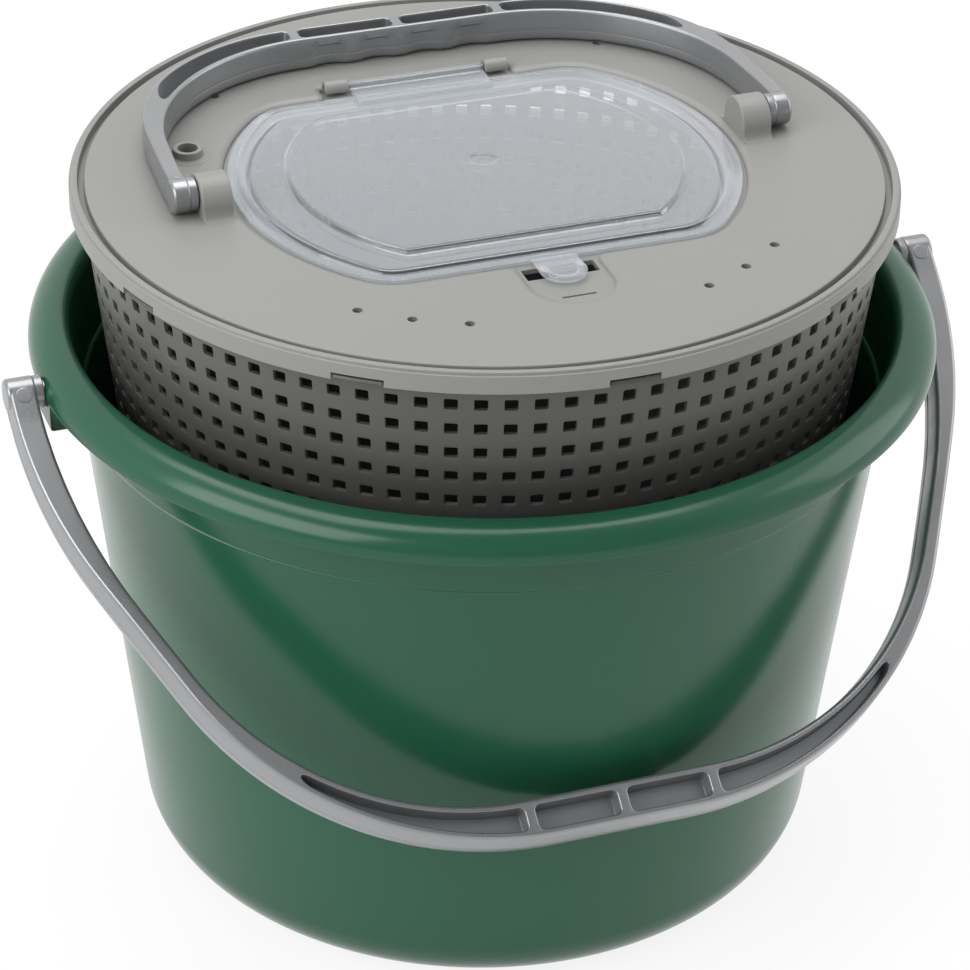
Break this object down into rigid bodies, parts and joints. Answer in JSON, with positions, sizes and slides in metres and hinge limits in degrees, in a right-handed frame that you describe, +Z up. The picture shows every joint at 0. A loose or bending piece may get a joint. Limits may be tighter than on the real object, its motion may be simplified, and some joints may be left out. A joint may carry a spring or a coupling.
{
  "type": "bait bucket",
  "caption": "Round tapered bucket with a rolled lip and bail, a lift-out sieve basket, and a vented lid with its own bail, a clear hinged hatch and a small hose port.",
  "frame": {"origin": "middle of the footprint, on the plane of the foot ring", "axes": "+X along both handle pivots, -Y towards the front where the latch and the hanging handle are, +Z up"},
  "size_m": [0.3588, 0.3322, 0.2877],
  "materials": {
    "bucket_green": "glossy moulded plastic",
    "basket_grey": "satin moulded plastic",
    "lid_grey": "satin moulded plastic",
    "handle_silver": "silver-pigmented moulded plastic",
    "hatch_clear": "clear, slightly milky moulded plastic"
  },
  "bodies": {
    "bucket": {"bucket": "bucket_green"},
    "bucket_handle": {"bucket_handle": "handle_silver"},
    "basket": {"basket": "basket_grey"},
    "lid": {"lid": "lid_grey"},
    "lid_handle": {"lid_handle": "handle_silver"},
    "hatch": {"hatch": "hatch_clear"}
  },
  "joints": [
    {"name": "bucket_handle_pivot", "type": "hinge", "parent": "bucket", "child": "bucket_handle", "pos_m": [0, 0, 0.2115], "axis": [-1, 0, 0], "range_deg": [0, 256.6]},
    {"name": "basket_lift", "type": "slide", "parent": "bucket", "child": "basket", "axis": [0, 0, 1], "range_m": [0, 0.235]},
    {"name": "lid_lift", "type": "slide", "parent": "basket", "child": "lid", "axis": [0, 0, 1], "range_m": [0, 0.04]},
    {"name": "lid_handle_pivot", "type": "hinge", "parent": "lid", "child": "lid_handle", "pos_m": [0, 0, 0.2809], "axis": [1, 0, 0], "range_deg": [0, 180]},
    {"name": "hatch_hinge", "type": "hinge", "parent": "lid", "child": "hatch", "pos_m": [0, 0.0783, 0.2743], "axis": [-1, 0, 0], "range_deg": [0, 115]}
  ]
}
